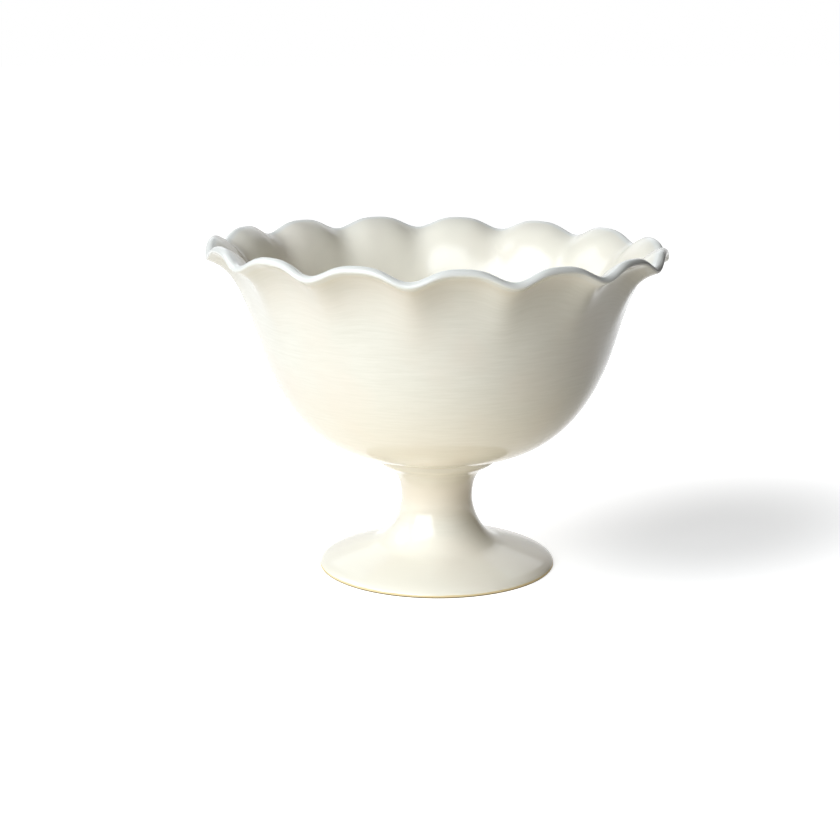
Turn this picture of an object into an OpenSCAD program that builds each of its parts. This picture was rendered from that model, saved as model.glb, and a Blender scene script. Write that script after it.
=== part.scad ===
// Footed trifle bowl: a ruffled bowl on a hollow thrown pedestal, joined with slip.
// Millimetres, +Z up. The foot stands on z = 0 and the front looks towards -Y.

/* [Bowl] */
// Radius of the rim, to the middle of the lip
rim_r = 124.7; // [118:0.1:134]
// Mean height of the lip's middle above the table
rim_z = 182.3; // [176:0.1:188]
// Angle of the flared lip above the horizontal, in degrees
lip_angle = 22; // [16:1:36]
// Thickness of the wall at the lip
lip_t = 4.4; // [3.6:0.1:6]
// Radius of the lip's tight lower edge, under its wide rolled top
lip_under = 1.2; // [0.8:0.1:1.6]
// Thickness of the bowl's floor
floor_t = 8; // [6:0.5:10]
// Radius of the wall at mid height, where the belly ends and the flare starts
waist_r = 99.7; // [95:0.1:105]
// Height of the waist above the table
waist_z = 131.5; // [126:0.5:137]
// Radius that the belly's curve is drawn out to
belly_r = 83; // [76:0.5:88]
// Height that the belly's curve is drawn down to
belly_z = 73.5; // [70:0.5:80]
// Radius of the flat seat under the bowl
seat_r = 31; // [26:0.5:32]

/* [Ruffles] */
// Number of ruffles round the rim
ruffle_n = 15; // [9:1:16]
// Height of a ruffle, half of the way from a dip to a crest
ruffle_h = 3.3; // [0:0.1:4.5]
// How much narrower the dips are than the crests
ruffle_pinch = 0.19; // [0:0.01:0.24]
// Distance that each crest is drawn inwards
ruffle_in = 0.6; // [0:0.1:1.2]
// Length of wall below the lip over which the ruffles die away
ruffle_fade = 56; // [40:1:64]
// Angle from the front to the first crest, in degrees
ruffle_turn = 5.7; // [0:0.1:24]
// Lean of the hand-thrown rim, lower on the right, in degrees
rim_lean = 0.8; // [0:0.1:1.2]

/* [Pedestal] */
// Radius of the foot
foot_r = 67.6; // [62:0.2:74]
// Width of the bare ring that stands on the table
foot_ring = 5.5; // [4:0.5:8]
// Radius of the neck, the narrowest point of the stem
neck_r = 20.3; // [18:0.1:23]
// Height of the neck above the table
neck_z = 39.7; // [37:0.1:42]
// Radius of the collar under the bowl
collar_r = 34.8; // [33:0.2:37]
// Height of the collar's top face above the table
collar_z = 64.6; // [62:0.2:66]
// Radius where the stem's sweep turns into the domed foot
dome_r = 40; // [37:0.5:44]
// Height of that turn above the table
dome_z = 14.7; // [13:0.1:17]
// Slope of the clay at that turn, in degrees
dome_slope = 15.5; // [12:0.5:20]
// Thickness of the stem's wall at the neck
stem_t = 7; // [5.5:0.5:8]

/* [Slip joint] */
// Thickness of the slip between collar and bowl
slip_t = 1; // [0.5:0.1:1.5]
// Distance that the slip is smoothed out under the bowl, past the collar
slip_out = 1.4; // [0.4:0.1:2.5]

/* [Hidden] */

// Steps round each ruffle, and along the wall's two curves and the lip's two rounds
ruffle_steps = 10;
belly_steps = 7;
flare_steps = 8;
under_steps = 3;
over_steps = 4;
// Angle above the horizontal at which the lip's two rounds meet
lip_turn = 15;
// Steps along each curve of the pedestal, and along the slip's hollow edge
stem_steps = 14;
slip_steps = 6;
// Radius of the small worn edges on the foot
edge_r = 0.8;
// Drop of the floor from its edge to its middle
floor_dish = 0.5;

seat_z = collar_z + slip_t;
columns = ruffle_n * ruffle_steps;

// Point on a cubic curve with the four handles p, at t from 0 to 1
function curve(p, t) =
    pow(1 - t, 3) * p[0]
    + 3 * t * pow(1 - t, 2) * p[1]
    + 3 * t * t * (1 - t) * p[2]
    + pow(t, 3) * p[3];

// Direction of travel along that curve
function heading(p, t) =
    pow(1 - t, 2) * (p[1] - p[0])
    + 2 * t * (1 - t) * (p[2] - p[1])
    + t * t * (p[3] - p[2]);

// Unit normal on the right of the travel, which is the outside of a wall drawn upwards
function outward(p, t) =
    let (h = heading(p, t))
    [h[1], -h[0]] / norm(h);

// Points along a curve, without the first one if skip is 1
function trace(p, steps, skip = 0) =
    [for (i = [skip : steps]) curve(p, i / steps)];

// Smooth step from 0 to 1
function ease(t) =
    let (c = max(0, min(1, t)))
    c * c * (3 - 2 * c);

// Points on a round of radius r about the centre c, from angle a0 to a1
function rounded(c, r, a0, a1, steps = 4) =
    [for (i = [0 : steps])
        let (a = a0 + (a1 - a0) * i / steps)
        c + r * [cos(a), sin(a)]];

// Bowl: handles of the belly's and the flare's curves, on the outside of the wall
lip_mid = [rim_r, rim_z];
lip_along = [cos(lip_angle), sin(lip_angle)];
lip_out = [sin(lip_angle), -cos(lip_angle)];
lip_edge = lip_mid + lip_t / 2 * lip_out;
// The lip's rolled top takes up the thickness that its tight lower edge leaves
lip_dip = lip_angle - lip_turn;
lip_over = (lip_t - lip_under * (1 - sin(lip_dip))) / (1 + sin(lip_dip));
over_mid = lip_mid + (lip_over - lip_t / 2) * lip_out;
under_mid = over_mid + (lip_over - lip_under) * [cos(lip_turn), sin(lip_turn)];
lip_rounds = concat(
    rounded(under_mid, lip_under, lip_angle - 90, lip_turn, under_steps),
    rounded(over_mid, lip_over, lip_turn, lip_angle + 90, over_steps)
);
// The first round ends where the second starts, and the second ends on the inside
lip_points = [for (i = [0 : len(lip_rounds) - 2]) if (i != under_steps) lip_rounds[i]];
waist = [waist_r, waist_z];
belly = [belly_r, belly_z];
belly_curve = [[seat_r, seat_z], [seat_r + 17, seat_z + 0.2], belly, waist];
flare_curve = [waist, waist + 0.66 * (waist - belly), lip_edge - 11 * lip_along, lip_edge];

// Each station along the wall holds its outer point and its outward normal
stations = concat(
    [for (i = [0 : belly_steps])
        [curve(belly_curve, i / belly_steps), outward(belly_curve, i / belly_steps)]],
    [for (i = [1 : flare_steps])
        [curve(flare_curve, i / flare_steps), outward(flare_curve, i / flare_steps)]]
);
last = len(stations) - 1;

// Length of wall from station i up to the lip
function below_lip(i) =
    i >= last ? 0 : norm(stations[i + 1][0] - stations[i][0]) + below_lip(i + 1);

// Thickness of the wall at station i, from floor to lip
function wall_t(i) =
    floor_t + (lip_t - floor_t) * ease(1 - below_lip(i) / below_lip(0));

// Share of the ruffle that reaches station i
function ruffled_share(i) = ease(1 - below_lip(i) / ruffle_fade);

// The wall's closed section as [radius, height, share of the ruffle]: up the outside,
// round the lip and down the inside
section = concat(
    [for (i = [0 : last])
        let (p = stations[i][0])
        [p[0], p[1], ruffled_share(i)]],
    [for (p = lip_points) [p[0], p[1], 1]],
    [for (i = [last : -1 : 0])
        let (p = stations[i][0] - wall_t(i) * stations[i][1])
        [p[0], p[1], ruffled_share(i)]]
);
rings = len(section);

// A point of the section carried round to angle a from the front, and lifted by the ruffle
function ruffled(s, a) =
    let (
        phase = ruffle_n * (a - ruffle_turn),
        lift = ruffle_h * (cos(phase) - ruffle_pinch * cos(2 * phase)),
        r = s[0] - s[2] * ruffle_in * cos(phase),
        lean = -tan(rim_lean) * r * sin(a)
    )
    [r * sin(a), -r * cos(a), s[1] + s[2] * (lift + lean)];

// Index of the point on ring i and column j of the loft
function at(i, j) = i * columns + j % columns;

module bowl() {
    under = rings * columns;
    inside = under + 1;
    points = concat(
        [for (s = section, j = [0 : columns - 1]) ruffled(s, 360 * j / columns)],
        [[0, 0, seat_z], [0, 0, section[rings - 1][1] - floor_dish]]
    );
    wall = [for (i = [0 : rings - 2], j = [0 : columns - 1], half = [0, 1])
        half == 0
            ? [at(i, j), at(i + 1, j), at(i + 1, j + 1)]
            : [at(i, j), at(i + 1, j + 1), at(i, j + 1)]];
    seat = [for (j = [0 : columns - 1]) [under, at(0, j), at(0, j + 1)]];
    floor = [for (j = [0 : columns - 1]) [inside, at(rings - 1, j + 1), at(rings - 1, j)]];
    color("ivory") polyhedron(points, concat(wall, seat, floor), convexity = 6);
}

// Pedestal: the stem's outside from collar to foot, and its hollow
collar_low = [collar_r - 0.8, collar_z - 2.1];
neck = [neck_r, neck_z];
dome = [dome_r, dome_z];
dome_along = [cos(dome_slope), -sin(dome_slope)];
foot_low = [foot_r, edge_r];
collar_curve = [collar_low, collar_low - [2.1, 5.3], neck + [0, 20.6], neck];
sweep_curve = [neck, neck - [0, 7.6], dome - 15 * dome_along, dome];
dome_curve = [dome, dome + 20 * dome_along, foot_low + [0, 0.4], foot_low];

bore_r = neck_r - stem_t;
bore_top = collar_z - 8.6;
bore_low = neck_z - 3.7;
ring_in = foot_r - foot_ring;
hollow_curve = [[ring_in, edge_r], [ring_in - 14, 6.4], [bore_r, 9], [bore_r, bore_low]];
bore_curve = [[bore_r, bore_low], [bore_r, bore_top - 5], [0.6 * bore_r, bore_top], [0, bore_top]];

module pedestal() {
    profile = concat(
        [[0, collar_z], [collar_r, collar_z]],
        trace(collar_curve, stem_steps),
        trace(sweep_curve, stem_steps, 1),
        trace(dome_curve, stem_steps, 1),
        rounded([foot_r - edge_r, edge_r], edge_r, -18, -90),
        rounded([ring_in + edge_r, edge_r], edge_r, -90, -162),
        trace(hollow_curve, stem_steps),
        trace(bore_curve, stem_steps, 1)
    );
    color("linen") rotate_extrude($fn = 180) polygon(profile);
}

// Slip joint: a flat disc between collar and seat, its edge smoothed to a hollow under the bowl
slip_low = [collar_r, collar_z];
slip_top = [collar_r + slip_out, seat_z];
slip_curve = [slip_low, slip_low + [0.1 * slip_out, 0.5 * slip_t], slip_top - [0.5 * slip_out, 0], slip_top];

module slip_joint() {
    profile = concat([[0, collar_z]], trace(slip_curve, slip_steps), [[0, seat_z]]);
    color("tan") rotate_extrude($fn = 180) polygon(profile);
}

bowl();
pedestal();
slip_joint();
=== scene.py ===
"""Footed trifle bowl: a ruffled stoneware bowl on a hollow thrown pedestal, in brushed cream glaze.

The pieces' sizes are millimetres and match the part's solids, apart from the foot's dome, which is
a little flatter here, as in the photograph, and the slip's small climb under the bowl. Lamps, floor
and camera are in metres. The frame is +Z up, the foot stands on z = 0, and the front looks towards -Y.
"""

import logging
import math
from dataclasses import dataclass
from enum import Enum
from typing import Any

import bpy
import numpy as np
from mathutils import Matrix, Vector


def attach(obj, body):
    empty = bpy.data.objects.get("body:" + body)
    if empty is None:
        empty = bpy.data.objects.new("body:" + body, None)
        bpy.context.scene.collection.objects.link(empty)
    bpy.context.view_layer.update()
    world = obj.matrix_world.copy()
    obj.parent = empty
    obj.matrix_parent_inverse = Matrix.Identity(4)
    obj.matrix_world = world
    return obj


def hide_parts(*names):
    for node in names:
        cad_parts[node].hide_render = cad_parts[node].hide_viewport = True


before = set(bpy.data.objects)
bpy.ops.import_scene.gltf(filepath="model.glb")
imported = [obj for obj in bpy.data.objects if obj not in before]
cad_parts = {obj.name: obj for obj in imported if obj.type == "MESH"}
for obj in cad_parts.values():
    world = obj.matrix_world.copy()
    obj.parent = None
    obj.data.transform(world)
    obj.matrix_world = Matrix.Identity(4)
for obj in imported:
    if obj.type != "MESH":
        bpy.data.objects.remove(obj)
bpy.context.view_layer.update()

# Metres in a millimetre, and the photograph's side in pixels
MM = 0.001
PHOTO_SIDE = 840
# Places of the Mix node's sockets, whose names its data types share
FACTOR = 0
FLOAT_A, FLOAT_B, FLOAT_OUT = 2, 3, 0
COLOUR_A, COLOUR_B, COLOUR_OUT = 6, 7, 2
Pair = tuple[float, float]
log = logging.getLogger("trifle_bowl")


class Node(Enum):
    """Names of the solids that the pieces stand for."""

    BOWL = "bowl"
    PEDESTAL = "pedestal"
    SLIP_JOINT = "slip_joint"


class Slot(Enum):
    """Names of the record's finishes."""

    GLAZE = "glaze"
    SLIP = "slip"


class Trait(Enum):
    """Names of the numbers that a mesh carries at each vertex for its glaze.

    The arc is the distance along the section in millimetres. The others are shares: of the lip's
    white, of pooled glaze, of the brush's streaks, and of the poured coat.
    """

    ARC = "arc"
    LIP = "lip"
    POOL = "pool"
    BRUSH = "brush"
    DIPPED = "dipped"


def to_linear(code: str) -> tuple[float, float, float, float]:
    """Turn an sRGB hex colour into linear red, green, blue and a full alpha.

    Args:
        code: Six hex digits after a hash sign.

    Returns:
        Four numbers from 0 to 1, by the sRGB curve.
    """
    srgb = [int(code[i:i + 2], 16) / 255 for i in (1, 3, 5)]
    red, green, blue = (level / 12.92 if level <= 0.04045 else ((level + 0.055) / 1.055) ** 2.4
                        for level in srgb)
    return red, green, blue, 1.0


def add(
    tree: bpy.types.NodeTree,
    kind: str,
    inputs: dict[str | int, Any] | None = None,
    **settings: Any,
) -> bpy.types.Node:
    """Add one shader node with its settings, values and links.

    Args:
        tree: The material's or world's node tree.
        kind: The node's type without its ShaderNode prefix.
        inputs: Sockets by name or place, each with a value or the output socket to link.
        **settings: Attributes of the node itself.

    Returns:
        The new node.
    """
    node = tree.nodes.new("ShaderNode" + kind)
    for name, value in settings.items():
        setattr(node, name, value)
    for key, value in (inputs or {}).items():
        if isinstance(value, bpy.types.NodeSocket):
            tree.links.new(value, node.inputs[key])
        else:
            node.inputs[key].default_value = value
    return node


def new_tree(name: str) -> tuple[bpy.types.Material, bpy.types.NodeTree]:
    """Make an empty node material.

    Args:
        name: The material's name.

    Returns:
        The material and its cleared node tree.
    """
    material = bpy.data.materials.new(name)
    material.use_nodes = True
    material.node_tree.nodes.clear()
    return material, material.node_tree


def ease(share: np.ndarray) -> np.ndarray:
    """Smooth step: three times the share's square less twice its cube, held between 0 and 1."""
    held = np.clip(share, 0.0, 1.0)
    return held * held * (3.0 - 2.0 * held)


@dataclass(frozen=True)
class Ramp:
    """A share that eases in over a stretch of height, upwards, or downwards if the span is negative."""

    share: float
    start: float
    span: float

    def at(self, height: np.ndarray) -> np.ndarray:
        """Give the share at each height: none at the start, and all of it a span further on."""
        return self.share * ease((height - self.start) / self.span)


def cubic(handles: list[np.ndarray | Pair], count: int) -> tuple[np.ndarray, np.ndarray]:
    """Walk along a cubic curve, the Bernstein sum of its four handles.

    Args:
        handles: Four points as radius and height.
        count: Number of points, both ends counted.

    Returns:
        The points, and the direction of travel at each.
    """
    first, second, third, fourth = np.asarray(handles, float)
    done = np.linspace(0.0, 1.0, count)[:, None]
    left = 1.0 - done
    points = left**3 * first + 3 * done * left**2 * second + 3 * done**2 * left * third + done**3 * fourth
    heading = left**2 * (second - first) + 2 * done * left * (third - second) + done**2 * (fourth - third)
    return points, heading


def arc_round(centre: Pair, radius: float, start: float, end: float, count: int) -> np.ndarray:
    """Walk round an arc: centre plus radius times the cosine and sine of an angle.

    Args:
        centre: Radius and height of the arc's centre.
        radius: Radius of the arc.
        start: First angle in degrees.
        end: Last angle in degrees.
        count: Number of points, both ends counted.

    Returns:
        The points as radius and height.
    """
    angle = np.radians(np.linspace(start, end, count))
    return np.column_stack([centre[0] + radius * np.cos(angle), centre[1] + radius * np.sin(angle)])


def lengths(section: np.ndarray) -> np.ndarray:
    """Distance along a section from its first point, as the running sum of its steps."""
    return np.concatenate([[0.0], np.cumsum(np.linalg.norm(np.diff(section, axis=0), axis=1))])


def steps_out(count: int) -> np.ndarray:
    """Even shares of the way from the axis to an edge, without its two ends, as one column."""
    return np.linspace(0.0, 1.0, count + 1)[1:-1, None]


def skin(name: str, grid: np.ndarray, poles: np.ndarray, traits: dict[Trait, np.ndarray]) -> bpy.types.Object:
    """Make a closed piece from rings of points, with a fan of triangles at either end.

    The face between rings i and i + 1 and columns j and j + 1 joins those four points, and the
    last column joins the first. A section that climbs the outside and comes back down the inside
    gives faces that point outwards.

    Args:
        name: Name of the piece.
        grid: Points in millimetres, by ring, column and axis.
        poles: The first and the last point on the axis, in millimetres.
        traits: One number for each ring, which its whole ring carries.

    Returns:
        The piece, smooth, at the origin, linked to the scene.
    """
    rings, columns = grid.shape[:2]
    points = np.concatenate([grid.reshape(-1, 3), poles]) * MM
    ring, column = np.meshgrid(np.arange(rings - 1), np.arange(columns), indexing="ij")
    beside = (column + 1) % columns
    low, high = ring * columns, (ring + 1) * columns
    quads = np.stack([low + column, low + beside, high + beside, high + column], -1).reshape(-1, 4)
    here = np.arange(columns)
    after = (here + 1) % columns
    pole, last = rings * columns, (rings - 1) * columns
    fan_start = np.stack([np.full(columns, pole), after, here], -1)
    fan_end = np.stack([np.full(columns, pole + 1), last + here, last + after], -1)
    corners = np.concatenate([quads.ravel(), fan_start.ravel(), fan_end.ravel()]).astype(np.int32)
    counts = np.concatenate([np.full(len(quads), 4), np.full(2 * columns, 3)]).astype(np.int32)
    starts = np.concatenate([[0], np.cumsum(counts)[:-1]]).astype(np.int32)

    mesh = bpy.data.meshes.new(name)
    mesh.vertices.add(len(points))
    mesh.vertices.foreach_set("co", points.astype(np.float32).ravel())
    mesh.loops.add(len(corners))
    mesh.loops.foreach_set("vertex_index", corners)
    mesh.polygons.add(len(counts))
    mesh.polygons.foreach_set("loop_start", starts)
    mesh.polygons.foreach_set("use_smooth", np.ones(len(counts), bool))
    mesh.update(calc_edges=True)
    mesh.validate()
    for trait, by_ring in traits.items():
        held = mesh.attributes.new(trait.value, "FLOAT", "POINT")
        values = np.concatenate([np.repeat(by_ring, columns), by_ring[[0, -1]]])
        held.data.foreach_set("value", values.astype(np.float32))
    piece = bpy.data.objects.new(name, mesh)
    bpy.context.scene.collection.objects.link(piece)
    return piece


def turned(section: np.ndarray, columns: int) -> np.ndarray:
    """Carry a section round the axis: radius times the sine and cosine of the angle, and its height.

    Args:
        section: Points as radius and height.
        columns: Number of steps round.

    Returns:
        Points by ring, column and axis, with the angle counted from the front.
    """
    angle = 2 * np.pi * np.arange(columns) / columns
    radius, height = section[:, :1], section[:, 1:]
    return np.stack([radius * np.sin(angle), -radius * np.cos(angle), height + 0 * angle], -1)


def hand_over(piece: bpy.types.Object, node: Node, material: bpy.types.Material) -> None:
    """Give a piece its finish and put it in the place of its solid.

    Args:
        piece: The new piece.
        node: The solid that it stands for.
        material: The finish.
    """
    piece.data.materials.append(material)
    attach(piece, "root")
    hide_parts(node.value)


@dataclass(frozen=True)
class BrushedGlaze:
    """Opaque cream stoneware glaze, brushed on while the pot turned and fired to a gloss.

    The brush leaves fine level streaks of thinner and thicker glaze. The inside was poured, so it is
    whiter, and it fired a little duller. Where the glaze pools it is warmer, and the lip is drawn a
    cooler white. The foot ring is wiped bare, and its lowest edges carry painted shade, a dark band
    for the contact shadow where the ring meets the floor.
    Colours are sRGB and sizes are millimetres.
    """

    # To the eye: a soft cream gloss, faintly lined round the pot, with a white edge and a buff foot ring
    name: str = "stoneware_brushed_cream_glaze"
    thin: str = "#EBE9DE"
    thick: str = "#F2F0E6"
    poured: str = "#FAF5E6"
    pooled: str = "#EAE0CF"
    blush: str = "#F1E8DB"
    lip_white: str = "#F3F3ED"
    clay: str = "#EBDAAE"
    clay_dark: str = "#D8C392"
    # Painted shade: a dark clay colour standing in for the contact shadow under the foot ring's edges
    clay_contact_shade: str = "#5E5236"
    streak_gap: float = 1.4
    streak_run: float = 18.0
    streak_contrast: Pair = (0.3, 0.7)
    streak_height: float = 0.008
    blush_size: float = 45.0
    blush_contrast: Pair = (0.45, 0.75)
    blush_share: float = 0.6
    peel_size: float = 4.0
    peel_height: float = 0.012
    clay_top: float = 1.7
    clay_wander: float = 0.3
    clay_blur: float = 0.15
    wander_size: float = 9.0
    # Real grit is finer than this, and is drawn coarse enough to show
    grit_size: float = 0.5
    # Painted shade round the foot ring's lowest edges: its middle height, and where it is full and where it
    # ends
    contact_shade_middle: float = 0.45
    contact_shade_full: float = 0.25
    contact_shade_end: float = 0.44
    roughness: float = 0.13
    streak_sheen: float = 0.03
    poured_from: float = 0.5
    poured_dulling: float = 0.06
    clay_roughness: float = 0.85
    ior: float = 1.52

    def streaks(self, tree: bpy.types.NodeTree, here: bpy.types.NodeSocket) -> bpy.types.NodeSocket:
        """Draw the brush's streaks: noise drawn out along the turn, and one streak gap high up the wall.

        Args:
            tree: The material's node tree.
            here: The point on the piece, in metres.

        Returns:
            The socket that carries the glaze's thickness, 0 where it is thin and 1 where it is thick.
        """
        arc, brush = (add(tree, "Attribute", attribute_name=trait.value).outputs["Fac"]
                      for trait in (Trait.ARC, Trait.BRUSH))
        run = 1 / (self.streak_run * MM)
        along = add(tree, "VectorMath", {0: here, 1: (run, run, 0.0)}, operation="MULTIPLY").outputs[0]
        across = add(tree, "Math", {0: arc, 1: 1 / self.streak_gap}, operation="MULTIPLY").outputs[0]
        lifted = add(tree, "CombineXYZ", {"Z": across}).outputs[0]
        brushed = add(tree, "VectorMath", {0: along, 1: lifted}, operation="ADD").outputs[0]
        noise = add(tree, "TexNoise", {"Vector": brushed, "Scale": 1.0, "Detail": 3.0, "Roughness": 0.65})
        low, high = self.streak_contrast
        centred = add(tree, "MapRange", {"Value": noise.outputs["Fac"], "From Min": low, "From Max": high,
                                         "To Min": -0.5, "To Max": 0.5}).outputs[0]
        return add(tree, "Math", {0: centred, 1: brush, 2: 0.5}, operation="MULTIPLY_ADD").outputs[0]

    def coats(self, tree: bpy.types.NodeTree, here: bpy.types.NodeSocket,
              thickness: bpy.types.NodeSocket) -> bpy.types.NodeSocket:
        """Lay the colours over each other: streaks, poured coat, warm clouds, pools and the lip's white.

        The clouds are a few centimetres wide, where the body shows through.

        Args:
            tree: The material's node tree.
            here: The point on the piece, in metres.
            thickness: The glaze's thickness, from 0 to 1.

        Returns:
            The socket that carries the glaze's colour.
        """
        dipped, pool, lip = (add(tree, "Attribute", attribute_name=trait.value).outputs["Fac"]
                             for trait in (Trait.DIPPED, Trait.POOL, Trait.LIP))
        clouds = add(tree, "TexNoise", {"Vector": here, "Scale": 1 / (self.blush_size * MM), "Detail": 2.0})
        low, high = self.blush_contrast
        blushed = add(tree, "MapRange", {"Value": clouds.outputs["Fac"], "From Min": low, "From Max": high,
                                         "To Max": self.blush_share}).outputs[0]
        colour = add(tree, "Mix", {FACTOR: thickness, COLOUR_A: to_linear(self.thin),
                                   COLOUR_B: to_linear(self.thick)}, data_type="RGBA").outputs[COLOUR_OUT]
        layers = ((dipped, self.poured), (blushed, self.blush), (pool, self.pooled), (lip, self.lip_white))
        for share, coat in layers:
            colour = add(tree, "Mix", {FACTOR: share, COLOUR_A: colour, COLOUR_B: to_linear(coat)},
                         data_type="RGBA").outputs[COLOUR_OUT]
        return colour

    def foot_ring(self, tree: bpy.types.NodeTree,
                  here: bpy.types.NodeSocket) -> tuple[bpy.types.NodeSocket, bpy.types.NodeSocket]:
        """Bare the clay below a line that wanders a little, as a sponge leaves it, and darken its lowest
        edges with painted shade.

        Args:
            tree: The material's node tree.
            here: The point on the piece, in metres.

        Returns:
            The sockets that carry the share of bare clay and the clay's colour, with its painted shade.
        """
        height = add(tree, "SeparateXYZ", {0: here}).outputs["Z"]
        wander = add(tree, "TexNoise", {"Vector": here, "Scale": 1 / (self.wander_size * MM), "Detail": 2.0})
        line = add(tree, "MapRange", {"Value": wander.outputs["Fac"],
                                      "To Min": (self.clay_top - self.clay_wander) * MM,
                                      "To Max": (self.clay_top + self.clay_wander) * MM}).outputs[0]
        above = add(tree, "Math", {0: height, 1: line}, operation="SUBTRACT").outputs[0]
        bare = add(tree, "MapRange", {"Value": above, "From Min": self.clay_blur * MM,
                                      "From Max": -self.clay_blur * MM}).outputs[0]
        grit = add(tree, "TexNoise", {"Vector": here, "Scale": 1 / (self.grit_size * MM), "Detail": 3.0})
        clay = add(tree, "Mix", {FACTOR: grit.outputs["Fac"], COLOUR_A: to_linear(self.clay_dark),
                                 COLOUR_B: to_linear(self.clay)}, data_type="RGBA").outputs[COLOUR_OUT]
        # Painted shade: a dark band round the ring's lowest edges, standing in for the contact shadow on the
        # floor
        past = add(tree, "Math", {0: height, 1: self.contact_shade_middle * MM}, operation="SUBTRACT").outputs[0]
        away = add(tree, "Math", {0: past}, operation="ABSOLUTE").outputs[0]
        contact_shade = add(tree, "MapRange", {"Value": away, "From Min": self.contact_shade_end * MM,
                                      "From Max": self.contact_shade_full * MM}).outputs[0]
        ring = add(tree, "Mix", {FACTOR: contact_shade, COLOUR_A: clay, COLOUR_B: to_linear(self.clay_contact_shade)},
                   data_type="RGBA").outputs[COLOUR_OUT]
        return bare, ring

    def gloss(self, tree: bpy.types.NodeTree, thickness: bpy.types.NodeSocket,
              bare: bpy.types.NodeSocket) -> bpy.types.NodeSocket:
        """Set the roughness: a little duller along thin streaks and where poured, and dry on bare clay.

        Args:
            tree: The material's node tree.
            thickness: The glaze's thickness, from 0 to 1.
            bare: The share of bare clay.

        Returns:
            The socket that carries the roughness.
        """
        dipped = add(tree, "Attribute", attribute_name=Trait.DIPPED.value).outputs["Fac"]
        sheen = add(tree, "MapRange", {"Value": thickness, "To Min": self.roughness + self.streak_sheen,
                                       "To Max": self.roughness - self.streak_sheen}).outputs[0]
        dulled = add(tree, "MapRange", {"Value": dipped, "From Min": self.poured_from,
                                        "To Max": self.poured_dulling}).outputs[0]
        soft = add(tree, "Math", {0: sheen, 1: dulled}, operation="ADD").outputs[0]
        return add(tree, "Mix", {FACTOR: bare, FLOAT_A: soft,
                                 FLOAT_B: self.clay_roughness}).outputs[FLOAT_OUT]

    def material(self) -> bpy.types.Material:
        """Build the node material, with every pattern worked out from its size.

        Returns:
            The material.
        """
        material, tree = new_tree(self.name)
        here = add(tree, "TexCoord").outputs["Object"]
        thickness = self.streaks(tree, here)
        glazed = self.coats(tree, here, thickness)
        bare, ring = self.foot_ring(tree, here)
        colour = add(tree, "Mix", {FACTOR: bare, COLOUR_A: glazed, COLOUR_B: ring},
                     data_type="RGBA").outputs[COLOUR_OUT]
        rough = self.gloss(tree, thickness, bare)

        # Relief: the streaks, and the slow orange peel of a thick glaze
        peel = add(tree, "TexNoise", {"Vector": here, "Scale": 1 / (self.peel_size * MM), "Detail": 1.0})
        ridged = add(tree, "Bump", {"Height": thickness, "Distance": self.streak_height * MM}).outputs[0]
        relief = add(tree, "Bump", {"Height": peel.outputs["Fac"], "Distance": self.peel_height * MM,
                                    "Normal": ridged}).outputs[0]
        shader = add(tree, "BsdfPrincipled", {"Base Color": colour, "Roughness": rough, "IOR": self.ior,
                                              "Normal": relief}).outputs[0]
        add(tree, "OutputMaterial", {"Surface": shader})
        return material


@dataclass(frozen=True)
class FiredSlip:
    """Fired joining slip: the same clay let down with water, under a thin wash of the glaze."""

    # To the eye: a pale buff line with a soft, slightly grainy shine
    name: str = "stoneware_fired_slip"
    pale: str = "#F3EDDF"
    dark: str = "#EAE1CF"
    # The slip's own grain is finer than this, and is drawn coarse enough to show
    grain_size: float = 0.8
    grain_height: float = 0.02
    roughness: float = 0.28
    ior: float = 1.5

    def material(self) -> bpy.types.Material:
        """Build the node material from one grain, in its colour and its relief.

        Returns:
            The material.
        """
        material, tree = new_tree(self.name)
        here = add(tree, "TexCoord").outputs["Object"]
        grain = add(tree, "TexNoise", {"Vector": here, "Scale": 1 / (self.grain_size * MM),
                                       "Detail": 4.0}).outputs["Fac"]
        colour = add(tree, "Mix", {FACTOR: grain, COLOUR_A: to_linear(self.dark),
                                   COLOUR_B: to_linear(self.pale)}, data_type="RGBA").outputs[COLOUR_OUT]
        relief = add(tree, "Bump", {"Height": grain, "Distance": self.grain_height * MM}).outputs[0]
        shader = add(tree, "BsdfPrincipled", {"Base Color": colour, "Roughness": self.roughness,
                                              "IOR": self.ior, "Normal": relief}).outputs[0]
        add(tree, "OutputMaterial", {"Surface": shader})
        return material


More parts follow.
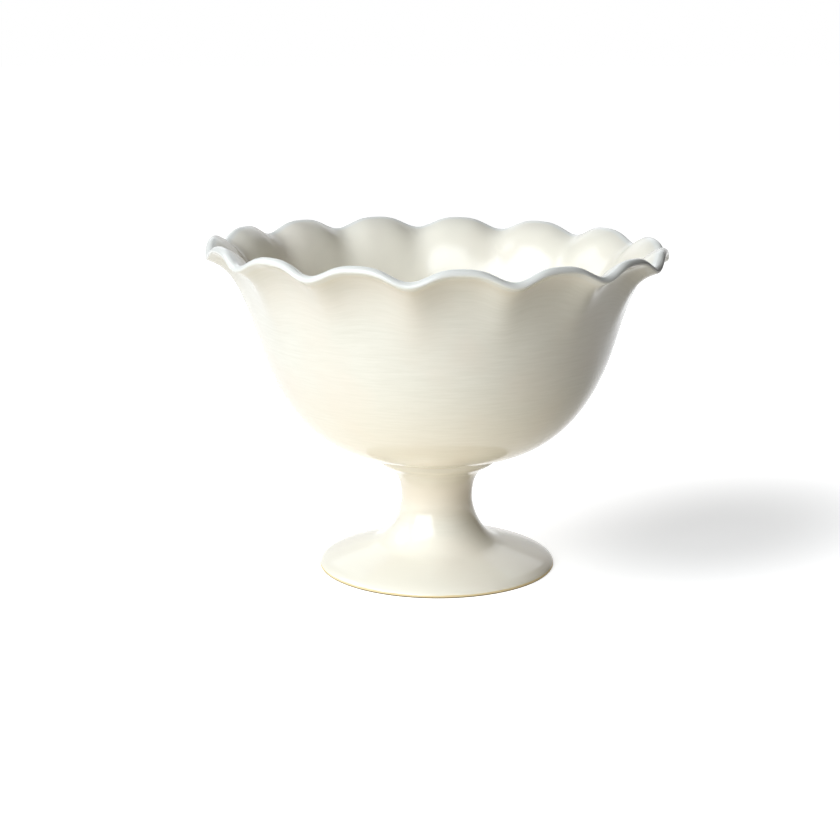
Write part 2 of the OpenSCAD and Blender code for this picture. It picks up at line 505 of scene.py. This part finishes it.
@dataclass
class RuffledBowl:
    """The bowl: a thrown wall whose rim was pressed into ruffles while it was soft."""

    glaze: bpy.types.Material
    # Lip and wall
    rim_r: float = 124.7
    rim_z: float = 182.3
    tuck: float = 0.09
    lip_angle: float = 22.0
    lip_turn: float = 15.0
    lip_t: float = 4.4
    lip_under: float = 1.2
    lip_run: float = 11.0
    waist: Pair = (99.7, 131.5)
    waist_run: float = 0.66
    belly: Pair = (83.0, 73.5)
    seat_r: float = 31.0
    seat_z: float = 65.6
    seat_run: Pair = (17.0, 0.2)
    floor_t: float = 8.0
    floor_dish: float = 0.5
    # Ruffles
    ruffle_n: int = 15
    ruffle_h: float = 3.3
    ruffle_pinch: float = 0.19
    ruffle_in: float = 0.6
    ruffle_fade: float = 56.0
    ruffle_turn: float = 5.7
    rim_lean: float = 0.8
    # Glaze: reach of the lip's white, pools low outside, and how far the inside hides the streaks
    lip_fade: float = 3.0
    pool: Ramp = Ramp(share=0.3, start=125.0, span=-45.0)
    poured_calm: float = 0.75
    # Points along each stretch of the section, and steps round
    columns: int = 300
    belly_points: int = 44
    flare_points: int = 44
    under_points: int = 9
    over_points: int = 15
    disc_points: int = 8

    def lip_frame(self) -> tuple[np.ndarray, np.ndarray, np.ndarray]:
        """Place the lip, a tuck inside the solid's facets so that the smooth rim stays in its box.

        Returns:
            The lip's middle, the direction out along it, and the one square to that on its outside.
        """
        angle = math.radians(self.lip_angle)
        middle = np.array([self.rim_r - self.tuck, self.rim_z - self.tuck])
        along = np.array([math.cos(angle), math.sin(angle)])
        return middle, along, np.array([along[1], -along[0]])

    def rolled(self) -> np.ndarray:
        """Round the lip: a tight arc at its lower edge, then a wide one over its top.

        The wide arc's radius takes up the thickness that the tight one leaves, and both share
        their normal at the turn.

        Returns:
            Points as radius and height, from the end of the outside to just before the inside.
        """
        middle, _, out = self.lip_frame()
        turn = math.radians(self.lip_turn)
        dip = math.sin(math.radians(self.lip_angle) - turn)
        over = (self.lip_t - self.lip_under * (1 - dip)) / (1 + dip)
        over_mid = middle + (over - self.lip_t / 2) * out
        under_mid = over_mid + (over - self.lip_under) * np.array([math.cos(turn), math.sin(turn)])
        low = arc_round(under_mid, self.lip_under, self.lip_angle - 90, self.lip_turn, self.under_points)
        high = arc_round(over_mid, over, self.lip_turn, self.lip_angle + 90, self.over_points)
        return np.concatenate([low, high[1:-1]])

    def wall(self) -> tuple[np.ndarray, np.ndarray]:
        """Trace the outside of the wall: a cubic belly, then a cubic flare to the lip's lower edge.

        Returns:
            The points as radius and height, and the outward normal at each.
        """
        middle, along, out = self.lip_frame()
        edge = middle + self.lip_t / 2 * out
        seat, waist, belly = np.array([self.seat_r, self.seat_z]), np.array(self.waist), np.array(self.belly)
        low, low_way = cubic([seat, seat + self.seat_run, belly, waist], self.belly_points)
        flare = [waist, waist + self.waist_run * (waist - belly), edge - self.lip_run * along, edge]
        high, high_way = cubic(flare, self.flare_points)
        points = np.concatenate([low, high[1:]])
        way = np.concatenate([low_way, high_way[1:]])
        normals = np.column_stack([way[:, 1], -way[:, 0]])
        return points, normals / np.linalg.norm(normals, axis=1, keepdims=True)

    def section(self) -> tuple[np.ndarray, np.ndarray, np.ndarray]:
        """Close the wall's section: seat, outside, rolled lip, inside and floor.

        The inside is the outside moved in along its normal by a thickness that eases from the
        floor's to the lip's. The floor is dished by a parabola.

        Returns:
            Points as radius and height, the share of the ruffle at each, and its distance from the lip.
        """
        outer, normal = self.wall()
        below = lengths(outer)[-1] - lengths(outer)
        thick = self.floor_t + (self.lip_t - self.floor_t) * ease(1 - below / below[0])
        share = ease(1 - below / self.ruffle_fade)
        inner = (outer - thick[:, None] * normal)[::-1]
        bead = self.rolled()
        part = steps_out(self.disc_points)
        seat = np.column_stack([self.seat_r * part, np.full_like(part, self.seat_z)])
        drop = self.floor_dish * (1 - part[::-1] ** 2)
        floor = np.column_stack([inner[-1, 0] * part[::-1], inner[-1, 1] - drop])
        points = np.concatenate([seat, outer, bead, inner, floor])
        flat = np.zeros(len(part))
        shares = np.concatenate([flat, share, np.ones(len(bead)), share[::-1], flat])
        far = np.full(len(part), below[0])
        away = np.concatenate([far, below, np.zeros(len(bead)), below[::-1], far])
        return points, shares, away

    def ruffled(self, section: np.ndarray, share: np.ndarray) -> np.ndarray:
        """Carry the section round and lift it into ruffles.

        The lift is the ruffle's height times the cosine of its phase, less the pinch times the
        cosine of twice the phase, which makes the dips narrower. The first cosine also draws each
        crest in, and the lean lowers the rim in proportion to its distance to the right.

        Args:
            section: Points as radius and height.
            share: Share of the ruffle that reaches each point.

        Returns:
            Points by ring, column and axis.
        """
        angle = 2 * np.pi * np.arange(self.columns) / self.columns
        phase = self.ruffle_n * (angle - math.radians(self.ruffle_turn))
        lift = self.ruffle_h * (np.cos(phase) - self.ruffle_pinch * np.cos(2 * phase))
        felt = share[:, None]
        radius = section[:, :1] - felt * self.ruffle_in * np.cos(phase)
        lean = -math.tan(math.radians(self.rim_lean)) * radius * np.sin(angle)
        height = section[:, 1:] + felt * (lift + lean)
        return np.stack([radius * np.sin(angle), -radius * np.cos(angle), height], -1)

    def build(self) -> bpy.types.Object:
        """Make the bowl's mesh, with the numbers that its glaze reads.

        Returns:
            The piece.
        """
        section, share, away = self.section()
        # The poured coat eases in past the widest ring, over twice the rings of the lip's top
        past_rim = np.arange(len(section)) - np.argmax(section[:, 0])
        inside = ease(past_rim / (2.0 * self.over_points))
        floor_z = section[-1, 1] - self.floor_dish / self.disc_points ** 2
        poles = np.array([[0, 0, self.seat_z], [0, 0, floor_z]])
        traits = {
            Trait.ARC: lengths(section),
            Trait.LIP: ease(1 - away / self.lip_fade),
            Trait.POOL: self.pool.at(section[:, 1]) * (1 - inside),
            Trait.BRUSH: 1.0 - self.poured_calm * inside,
            Trait.DIPPED: inside,
        }
        return skin("ruffled_bowl", self.ruffled(section, share), poles, traits)

    def dress(self, piece: bpy.types.Object) -> None:
        """Glaze the bowl and put it in its solid's place."""
        hand_over(piece, Node.BOWL, self.glaze)


@dataclass
class Pedestal:
    """The pedestal: a thrown stem that sweeps out into a domed hollow foot."""

    glaze: bpy.types.Material
    # Outside: collar, stem, dome and foot, with the handles that shape the curves between them
    collar_r: float = 34.8
    collar_z: float = 64.6
    brim: Pair = (0.04, 0.05)
    collar_drop: Pair = (0.8, 2.1)
    collar_run: Pair = (2.1, 5.3)
    neck: Pair = (20.3, 39.7)
    neck_up: float = 20.6
    neck_down: float = 7.6
    dome: Pair = (40.0, 12.2)
    dome_slope: float = 15.0
    sweep_run: float = 15.0
    skirt_run: float = 22.0
    skirt_edge: float = 3.0
    foot_r: float = 67.6
    foot_ring: float = 5.5
    edge_r: float = 0.8
    edge_start: float = 8.0
    # Hollow: the wide space under the foot, and the bore up the stem
    stem_t: float = 7.0
    cap_t: float = 8.6
    bore_down: float = 3.7
    hollow_run: Pair = (14.0, 6.4)
    hollow_turn: float = 9.0
    bore_run: float = 5.0
    bore_round: float = 0.6
    # Glaze: warmer up the stem, streaked above the foot, poured over it, and paler at the collar as a painted
    # lift against the bowl's shade there
    pool: Ramp = Ramp(share=0.85, start=20.0, span=25.0)
    pool_painted_lift: Ramp = Ramp(share=0.5, start=46.0, span=12.0)
    brush_least: float = 0.3
    brush: Ramp = Ramp(share=0.7, start=12.0, span=20.0)
    poured: Ramp = Ramp(share=0.48, start=30.0, span=-15.0)
    # Points along each stretch of the section, and steps round
    columns: int = 240
    curve_points: int = 40
    edge_points: int = 10
    disc_points: int = 8

    def bore_top(self) -> float:
        """Height of the hollow's top."""
        return self.collar_z - self.cap_t

    def outside(self) -> np.ndarray:
        """Trace the outside downwards: collar, stem, dome and the foot's edge, three cubics in a row.

        Returns:
            Points as radius and height, from the middle of the collar's top to the foot's edge.
        """
        slope = math.radians(self.dome_slope)
        along = np.array([math.cos(slope), -math.sin(slope)])
        neck, dome, foot = np.array(self.neck), np.array(self.dome), np.array([self.foot_r, self.edge_r])
        rim = np.array([self.collar_r, self.collar_z])
        low = rim - self.collar_drop
        part = steps_out(self.disc_points)
        cap = np.column_stack([self.collar_r * part, np.full_like(part, self.collar_z)])
        # Two narrow bands beside the rim keep it crisp under smooth shading
        wide, tall = self.brim
        brim = np.array([rim - (wide, 0), rim, rim - (wide / 2, tall)])
        curves = [
            [low, low - self.collar_run, neck + (0, self.neck_up), neck],
            [neck, neck - (0, self.neck_down), dome - self.sweep_run * along, dome],
            [dome, dome + self.skirt_run * along, foot + (0, self.skirt_edge), foot],
        ]
        collar, sweep, skirt = (cubic(curve, self.curve_points)[0] for curve in curves)
        return np.concatenate([cap, brim, collar, sweep[1:], skirt[1:]])

    def underside(self) -> np.ndarray:
        """Trace the underside: the foot ring between two rounded edges, then two cubics up the hollow.

        Returns:
            Points as radius and height, from the foot's edge to just before the hollow's top.
        """
        edge, top = self.edge_r, self.bore_top()
        bore, bore_low = self.neck[0] - self.stem_t, self.neck[1] - self.bore_down
        ring_in = self.foot_r - self.foot_ring
        run, rise = self.hollow_run
        part = steps_out(self.disc_points)
        stand = np.column_stack([self.foot_r - edge + (ring_in - self.foot_r + 2 * edge) * part,
                                 np.zeros_like(part)])
        curves = [
            [(ring_in, edge), (ring_in - run, rise), (bore, self.hollow_turn), (bore, bore_low)],
            [(bore, bore_low), (bore, top - self.bore_run), (self.bore_round * bore, top), (0, top)],
        ]
        hollow, bored = (cubic(curve, self.curve_points)[0] for curve in curves)
        return np.concatenate([
            arc_round((self.foot_r - edge, edge), edge, -self.edge_start, -90, self.edge_points),
            stand,
            arc_round((ring_in + edge, edge), edge, -90, self.edge_start - 180, self.edge_points),
            hollow,
            bored[1:-1],
        ])

    def build(self) -> bpy.types.Object:
        """Make the pedestal's mesh, with the numbers that its glaze reads.

        Returns:
            The piece.
        """
        section = np.concatenate([self.outside(), self.underside()])[::-1]
        height = section[:, 1]
        poles = np.array([[0, 0, self.bore_top()], [0, 0, self.collar_z]])
        traits = {
            Trait.ARC: lengths(section),
            # The pool thins near the collar: painted light against the bowl's shade on the stem's top
            Trait.POOL: self.pool.at(height) * (1 - self.pool_painted_lift.at(height)),
            Trait.BRUSH: self.brush_least + self.brush.at(height),
            Trait.DIPPED: self.poured.at(height),
        }
        return skin("thrown_pedestal", turned(section, self.columns), poles, traits)

    def dress(self, piece: bpy.types.Object) -> None:
        """Glaze the pedestal and put it in its solid's place."""
        hand_over(piece, Node.PEDESTAL, self.glaze)


@dataclass
class SlipJoint:
    """The layer of slip that sticks the bowl to its pedestal, smoothed out under the bowl."""

    slip: bpy.types.Material
    low: Pair = (Pedestal.collar_r, Pedestal.collar_z)
    seat: Pair = (RuffledBowl.seat_r, RuffledBowl.seat_z)
    out: float = 1.4
    meniscus: float = 0.26
    # Handles of the hollow edge and its shoulder, as shares of the slip's own sizes
    low_run: Pair = (0.1, 0.5)
    top_run: float = 0.5
    top_drop: float = 0.02
    shoulder: Pair = (0.45, 0.3)
    columns: int = 180
    edge_points: int = 13
    disc_points: int = 8

    def section(self) -> np.ndarray:
        """Trace a flat disc whose edge is a cubic hollow that climbs to the bowl.

        Returns:
            Points as radius and height, from the collar's middle to the seat's.
        """
        low, seat = np.array(self.low), np.array(self.seat)
        thickness = seat[1] - low[1]
        end = np.array([low[0] + self.out, seat[1] + self.meniscus])
        start_handle = low + np.array(self.low_run) * (self.out, thickness)
        end_handle = end - (self.top_run * self.out, self.top_drop)
        shoulder = seat + np.array(self.shoulder) * (end - seat)
        part = steps_out(self.disc_points)
        return np.concatenate([
            np.column_stack([low[0] * part, np.full_like(part, low[1])]),
            cubic([low, start_handle, end_handle, end], self.edge_points)[0],
            np.array([shoulder, seat]),
            np.column_stack([seat[0] * part[::-1], np.full_like(part, seat[1])]),
        ])

    def build(self) -> bpy.types.Object:
        """Make the slip's mesh, which its finish reads by place alone.

        Returns:
            The piece.
        """
        poles = np.array([[0, 0, self.low[1]], [0, 0, self.seat[1]]])
        return skin("slip_joint_layer", turned(self.section(), self.columns), poles, {})

    def dress(self, piece: bpy.types.Object) -> None:
        """Finish the slip and put it in its solid's place."""
        hand_over(piece, Node.SLIP_JOINT, self.slip)


@dataclass(frozen=True)
class Softbox:
    """A rectangular studio light that faces the bowl. Angles are degrees and sizes are metres."""

    name: str
    azimuth: float
    elevation: float
    distance: float
    width: float
    height: float
    radiance: float
    colour: str = "#F3F9FF"

    def hang(self, target: Vector) -> None:
        """Place the lamp round the target, by its angle from the front and above the floor.

        Args:
            target: The point that it faces, in metres.
        """
        turn, rise = math.radians(self.azimuth), math.radians(self.elevation)
        level = math.cos(rise)
        away = Vector((math.sin(turn) * level, -math.cos(turn) * level, math.sin(rise)))
        lamp = bpy.data.lights.new(self.name, "AREA")
        lamp.shape = "RECTANGLE"
        lamp.size, lamp.size_y = self.width, self.height
        lamp.energy = self.radiance * math.pi * self.width * self.height
        lamp.color = to_linear(self.colour)[:3]
        placed = bpy.data.objects.new(self.name, lamp)
        placed.location = target + self.distance * away
        placed.rotation_euler = (-away).to_track_quat("-Z", "Y").to_euler()
        bpy.context.scene.collection.objects.link(placed)
        log.info("lamp %s: %.0f W", self.name, lamp.energy)


@dataclass
class Studio:
    """A white paper sweep, two softboxes on the left, the sweep's light behind and a low warm fill."""

    softboxes: tuple[Softbox, ...] = (
        Softbox("softbox_front_left", azimuth=-40.0, elevation=29.0, distance=1.7,
                width=1.6, height=1.25, radiance=5.5),
        Softbox("softbox_left", azimuth=-103.0, elevation=34.0, distance=1.7,
                width=0.78, height=0.6, radiance=2.7),
        Softbox("sweep_behind", azimuth=180.0, elevation=35.0, distance=1.7,
                width=1.6, height=0.9, radiance=0.8),
    )
    target: tuple[float, float, float] = (0.0, 0.0, 0.1)
    # Room: its fill, and how bright gloss sees it, from the room to the backdrop behind the bowl
    fill: str = "#FFE6C4"
    fill_strength: float = 0.04
    backdrop: str = "#FFFFFF"
    room_gloss: float = 0.2
    backdrop_gloss: float = 1.0
    backdrop_from: float = 0.75
    backdrop_full: float = 0.95
    # Floor as the camera and gloss see it, with an oval of shade where the bowl's shadow falls
    floor_side: float = 40.0
    floor_seen: str = "#CBCBCA"
    floor_glow: float = 0.54
    floor_glow_far: float = 1.0
    shade_middle: Pair = (0.17, 0.055)
    shade_reach: Pair = (0.142, 0.25)
    shade_turn: float = -42.0
    shade_core: float = 0.12
    # Light that the floor gives back: an oval pool, cut down in the shade
    floor_light: float = 1.2
    floor_light_tint: str = "#FFF8E5"
    shade_light: float = 0.3
    pool_middle: Pair = (-0.05, -0.12)
    pool_reach: Pair = (0.3, 0.6)
    pool_core: float = 0.3
    # Camera
    eye: tuple[float, float, float] = (0.0, -0.9211, 0.2939)
    pitch: float = 12.839
    yaw: float = 0.601
    focal_px: float = 1656.74
    sensor_mm: float = 36.0
    sight: float = 100.0

    def seen(self, tree: bpy.types.NodeTree) -> bpy.types.NodeSocket:
        """Give 1 to rays from the camera, and from gloss or glass, and 0 to the light that bounces.

        Args:
            tree: The node tree to add it to.

        Returns:
            The socket that carries it.
        """
        path = add(tree, "LightPath").outputs
        gloss = add(tree, "Math", {0: path["Is Camera Ray"], 1: path["Is Glossy Ray"]},
                    operation="MAXIMUM").outputs[0]
        return add(tree, "Math", {0: gloss, 1: path["Is Transmission Ray"]}, operation="MAXIMUM").outputs[0]

    def oval(self, tree: bpy.types.NodeTree, middle: Pair, reach: Pair, turn: float) -> bpy.types.NodeSocket:
        """Measure how far out a point of the floor is in an oval: 0 in its middle and 1 on its edge.

        Args:
            tree: The node tree to add it to.
            middle: The oval's middle on the floor, in metres.
            reach: Its half widths, in metres.
            turn: Its turn about Z, in degrees.

        Returns:
            The socket that carries it.
        """
        here = add(tree, "TexCoord").outputs["Object"]
        own = add(tree, "Mapping", {"Vector": here, "Location": middle + (0.0,), "Scale": reach + (1.0,),
                                    "Rotation": (0.0, 0.0, math.radians(turn))},
                  vector_type="TEXTURE").outputs[0]
        return add(tree, "VectorMath", {0: own}, operation="LENGTH").outputs["Value"]

    def paper(self) -> bpy.types.Material:
        """Make the floor's paper: matt white, aglow to the camera so that it is white but for the shadow.

        Returns:
            The material.
        """
        material, tree = new_tree("studio_matt_white_paper")
        shade = self.oval(tree, self.shade_middle, self.shade_reach, self.shade_turn)
        pool = self.oval(tree, self.pool_middle, self.pool_reach, 0.0)
        # Each level eases from the middle of its oval to its edge
        level, cut, light = (
            add(tree, "MapRange", {"Value": out, "From Min": core, "From Max": 1.0,
                                   "To Min": inner, "To Max": outer},
                interpolation_type="SMOOTHSTEP").outputs[0]
            for out, core, inner, outer in (
                (shade, self.shade_core, self.floor_glow, self.floor_glow_far),
                (shade, self.shade_core, self.shade_light, 1.0),
                (pool, self.pool_core, self.floor_light, 0.0),
            ))
        matt = add(tree, "BsdfDiffuse", {"Color": to_linear(self.floor_seen)}).outputs[0]
        glow = add(tree, "Emission", {"Strength": level}).outputs[0]
        shown = add(tree, "AddShader", {0: matt, 1: glow}).outputs[0]
        kept = add(tree, "Math", {0: light, 1: cut}, operation="MULTIPLY").outputs[0]
        lit = add(tree, "Emission", {"Color": to_linear(self.floor_light_tint), "Strength": kept}).outputs[0]
        both = add(tree, "MixShader", {0: self.seen(tree), 1: lit, 2: shown}).outputs[0]
        add(tree, "OutputMaterial", {"Surface": both})
        return material

    def lay_floor(self) -> None:
        """Lay one square sheet of the paper under the bowl."""
        half = self.floor_side / 2
        corners = [(-half, -half, 0), (half, -half, 0), (half, half, 0), (-half, half, 0)]
        mesh = bpy.data.meshes.new("studio_floor")
        mesh.from_pydata(corners, [], [(0, 1, 2, 3)])
        mesh.materials.append(self.paper())
        floor = bpy.data.objects.new("studio_floor", mesh)
        bpy.context.scene.collection.objects.link(floor)

    def fill_room(self) -> None:
        """Make the room a white backdrop to the camera and to gloss, and a low warm fill to other rays."""
        world = bpy.data.worlds.new("studio_room")
        world.use_nodes = True
        tree = world.node_tree
        tree.nodes.clear()
        fill = add(tree, "Background", {"Color": to_linear(self.fill),
                                        "Strength": self.fill_strength}).outputs[0]
        back = add(tree, "SeparateXYZ", {0: add(tree, "TexCoord").outputs["Generated"]}).outputs["Y"]
        gloss = add(tree, "MapRange", {"Value": back, "From Min": self.backdrop_from,
                                       "From Max": self.backdrop_full, "To Min": self.room_gloss,
                                       "To Max": self.backdrop_gloss}).outputs[0]
        path = add(tree, "LightPath").outputs
        strength = add(tree, "Math", {0: path["Is Camera Ray"], 1: gloss}, operation="MAXIMUM").outputs[0]
        white = add(tree, "Background", {"Color": to_linear(self.backdrop), "Strength": strength}).outputs[0]
        both = add(tree, "MixShader", {0: self.seen(tree), 1: fill, 2: white}).outputs[0]
        add(tree, "OutputWorld", {"Surface": both})
        bpy.context.scene.world = world

    def stand_camera(self) -> None:
        """Stand the camera in front, looking down a little, with the photograph's frame."""
        lens = bpy.data.cameras.new("camera")
        lens.sensor_width = self.sensor_mm
        lens.lens = self.focal_px * self.sensor_mm / PHOTO_SIDE
        lens.clip_end = self.sight
        camera = bpy.data.objects.new("camera", lens)
        camera.location = self.eye
        camera.rotation_euler = (math.radians(90 - self.pitch), 0.0, math.radians(self.yaw))
        bpy.context.scene.collection.objects.link(camera)
        bpy.context.scene.camera = camera

    def build(self) -> None:
        """Set up camera, floor, room and lamps."""
        bpy.context.scene.view_settings.view_transform = "Standard"
        self.stand_camera()
        self.lay_floor()
        self.fill_room()
        for softbox in self.softboxes:
            softbox.hang(Vector(self.target))


def main() -> None:
    """Build the studio, then the bowl, its pedestal and the slip between them."""
    logging.basicConfig(level=logging.INFO, format="%(name)s: %(message)s")
    Studio().build()
    glaze = BrushedGlaze().material()
    slip = FiredSlip().material()
    for part in (RuffledBowl(glaze), Pedestal(glaze), SlipJoint(slip)):
        piece = part.build()
        part.dress(piece)
        log.info("%s: %d faces, finish %s", piece.name, len(piece.data.polygons), piece.active_material.name)


if __name__ == "__main__":
    main()
